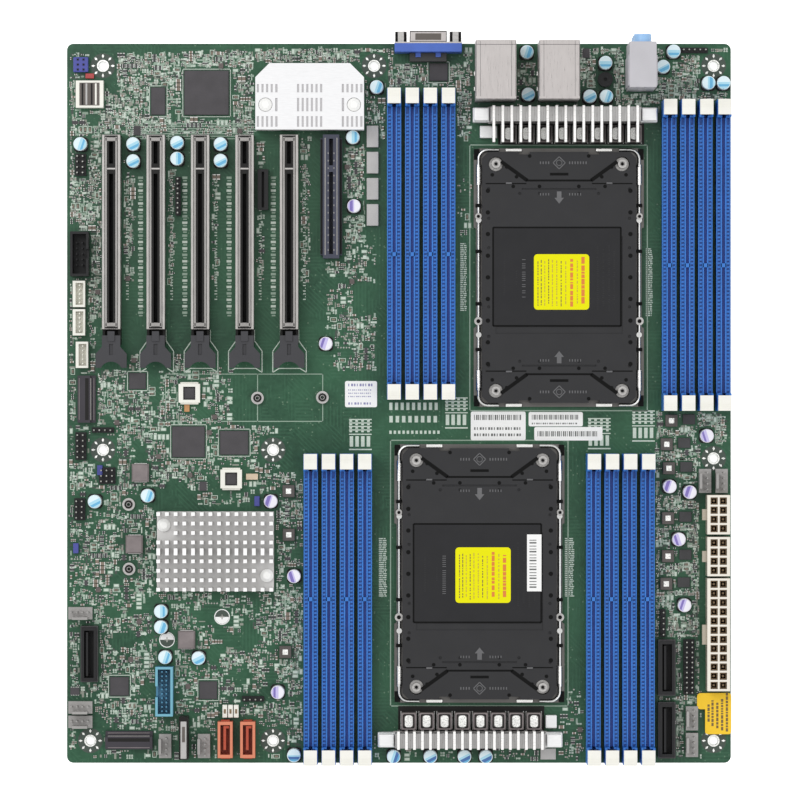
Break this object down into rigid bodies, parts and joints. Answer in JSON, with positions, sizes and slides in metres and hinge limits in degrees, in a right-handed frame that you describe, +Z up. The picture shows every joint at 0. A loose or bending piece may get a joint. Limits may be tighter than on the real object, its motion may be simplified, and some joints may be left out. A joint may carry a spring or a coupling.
{
  "type": "motherboard",
  "caption": "Extended-ATX two-socket workstation board with latched memory banks, armoured card slots, finned heat sinks and rear ports.",
  "frame": {"origin": "centre of the board's outline, on its underside", "axes": "+X to the right seen from above with the rear ports away, +Y to the rear port edge, +Z up from the board"},
  "size_m": [0.3048, 0.3354, 0.037],
  "materials": {
    "board": "solder-mask green, semi-matt",
    "dimm": "blue moulded nylon",
    "latch": "off-white moulded nylon",
    "slot": "black moulded nylon",
    "slot_shell": "pressed stainless steel",
    "card_latch": "charcoal moulded nylon",
    "socket_black": "black moulded plastic",
    "frame_steel": "plated steel",
    "bright_steel": "bright plated steel",
    "cover": "dark grey moulded plastic",
    "alloy": "clear anodised",
    "alloy_white": "bright anodised",
    "choke": "grey iron powder core",
    "push_pin": "white nylon",
    "package": "black moulding compound",
    "shield": "nickel-plated sheet steel",
    "port_black": "black moulded plastic",
    "audio_grey": "grey moulded plastic",
    "nose_blue": "light blue moulded plastic",
    "vga_blue": "blue moulded plastic",
    "power_white": "natural nylon",
    "pin_metal": "gold-flashed copper alloy",
    "sata_orange": "orange moulded plastic",
    "bus_blue": "teal blue moulded plastic",
    "drive_grey": "grey moulded plastic",
    "header_grey": "grey moulded plastic",
    "header_white": "off-white moulded plastic",
    "header_black": "black moulded plastic",
    "can_blue": "aluminium can with a blue mark",
    "can_violet": "aluminium can with a violet mark"
  },
  "bodies": {
    "board": {"circuit_board": "board", "dimm_sockets_a": "dimm", "dimm_sockets_b": "dimm", "dimm_sockets_c": "dimm", "dimm_sockets_d": "dimm", "pcie_slot_bodies": "slot", "pcie_slot_shells": "slot_shell", "pcie_short_slot": "slot", "socket_bases": "socket_black", "socket_frames": "frame_steel", "frame_wires": "bright_steel", "frame_studs": "bright_steel", "back_plates": "frame_steel", "vrm_heat_sinks": "alloy", "vrm_screws": "bright_steel", "power_chokes": "choke", "chipset_heat_sink": "alloy", "network_heat_sink": "alloy_white", "heat_sink_push_pins": "push_pin", "chip_packages": "package", "port_stack_shells": "shield", "port_stack_inserts": "port_black", "audio_stack": "audio_grey", "audio_noses": "nose_blue", "vga_housing": "vga_blue", "vga_shell": "bright_steel", "vga_jackscrews": "bright_steel", "power_housings": "power_white", "power_pins": "pin_metal", "sata_ports": "sata_orange", "front_bus_header": "bus_blue", "drive_sockets": "drive_grey", "drive_standoffs": "bright_steel", "cable_sockets": "header_black", "cable_socket_shells": "bright_steel", "fan_headers": "header_grey", "signal_headers": "header_white", "pin_headers": "header_black", "box_header": "header_black", "firmware_sockets": "header_white", "point_chokes": "choke", "cool_capacitors": "can_blue", "warm_capacitors": "can_violet", "sounder": "header_black", "board_locks": "slot"},
    "dimm_latches_a_rear": {"dimm_latches_a_rear": "latch"},
    "dimm_latches_a_front": {"dimm_latches_a_front": "latch"},
    "dimm_latches_b_rear": {"dimm_latches_b_rear": "latch"},
    "dimm_latches_b_front": {"dimm_latches_b_front": "latch"},
    "dimm_latches_c_rear": {"dimm_latches_c_rear": "latch"},
    "dimm_latches_c_front": {"dimm_latches_c_front": "latch"},
    "dimm_latches_d_rear": {"dimm_latches_d_rear": "latch"},
    "dimm_latches_d_front": {"dimm_latches_d_front": "latch"},
    "pcie_latch_1": {"pcie_latch_1": "card_latch"},
    "pcie_latch_2": {"pcie_latch_2": "card_latch"},
    "pcie_latch_3": {"pcie_latch_3": "card_latch"},
    "pcie_latch_4": {"pcie_latch_4": "card_latch"},
    "pcie_latch_5": {"pcie_latch_5": "card_latch"},
    "socket_cover_1": {"socket_cover_1": "cover"},
    "socket_cover_2": {"socket_cover_2": "cover"}
  },
  "joints": [
    {"name": "bank_a_rear_latches_tilt", "type": "hinge", "parent": "board", "child": "dimm_latches_a_rear", "pos_m": [0.0102, 0.1407, 0.006], "axis": [-1, 0, 0], "range_deg": [0, 30]},
    {"name": "bank_a_front_latches_tilt", "type": "hinge", "parent": "board", "child": "dimm_latches_a_front", "pos_m": [0.0102, 0.0047, 0.006], "axis": [1, 0, 0], "range_deg": [0, 30]},
    {"name": "bank_b_rear_latches_tilt", "type": "hinge", "parent": "board", "child": "dimm_latches_b_rear", "pos_m": [0.1361, 0.1356, 0.006], "axis": [-1, 0, 0], "range_deg": [0, 30]},
    {"name": "bank_b_front_latches_tilt", "type": "hinge", "parent": "board", "child": "dimm_latches_b_front", "pos_m": [0.1361, -0.0004, 0.006], "axis": [1, 0, 0], "range_deg": [0, 30]},
    {"name": "bank_c_rear_latches_tilt", "type": "hinge", "parent": "board", "child": "dimm_latches_c_rear", "pos_m": [-0.02795, -0.0261, 0.006], "axis": [-1, 0, 0], "range_deg": [0, 30]},
    {"name": "bank_c_front_latches_tilt", "type": "hinge", "parent": "board", "child": "dimm_latches_c_front", "pos_m": [-0.02795, -0.1621, 0.006], "axis": [1, 0, 0], "range_deg": [0, 30]},
    {"name": "bank_d_rear_latches_tilt", "type": "hinge", "parent": "board", "child": "dimm_latches_d_rear", "pos_m": [0.1014, -0.0261, 0.006], "axis": [-1, 0, 0], "range_deg": [0, 30]},
    {"name": "bank_d_front_latches_tilt", "type": "hinge", "parent": "board", "child": "dimm_latches_d_front", "pos_m": [0.1014, -0.1621, 0.006], "axis": [1, 0, 0], "range_deg": [0, 30]},
    {"name": "card_latch_1_press", "type": "hinge", "parent": "board", "child": "pcie_latch_1", "pos_m": [-0.1315, 0.0292, 0.0056], "axis": [1, 0, 0], "range_deg": [0, 20]},
    {"name": "card_latch_2_press", "type": "hinge", "parent": "board", "child": "pcie_latch_2", "pos_m": [-0.11118, 0.0292, 0.0056], "axis": [1, 0, 0], "range_deg": [0, 20]},
    {"name": "card_latch_3_press", "type": "hinge", "parent": "board", "child": "pcie_latch_3", "pos_m": [-0.09086, 0.0292, 0.0056], "axis": [1, 0, 0], "range_deg": [0, 20]},
    {"name": "card_latch_4_press", "type": "hinge", "parent": "board", "child": "pcie_latch_4", "pos_m": [-0.07054, 0.0292, 0.0056], "axis": [1, 0, 0], "range_deg": [0, 20]},
    {"name": "card_latch_5_press", "type": "hinge", "parent": "board", "child": "pcie_latch_5", "pos_m": [-0.05022, 0.0292, 0.0056], "axis": [1, 0, 0], "range_deg": [0, 20]},
    {"name": "cover_1_lift", "type": "slide", "parent": "board", "child": "socket_cover_1", "axis": [0, 0, 1], "range_m": [0, 0.02]},
    {"name": "cover_2_lift", "type": "slide", "parent": "board", "child": "socket_cover_2", "axis": [0, 0, 1], "range_m": [0, 0.02]}
  ]
}
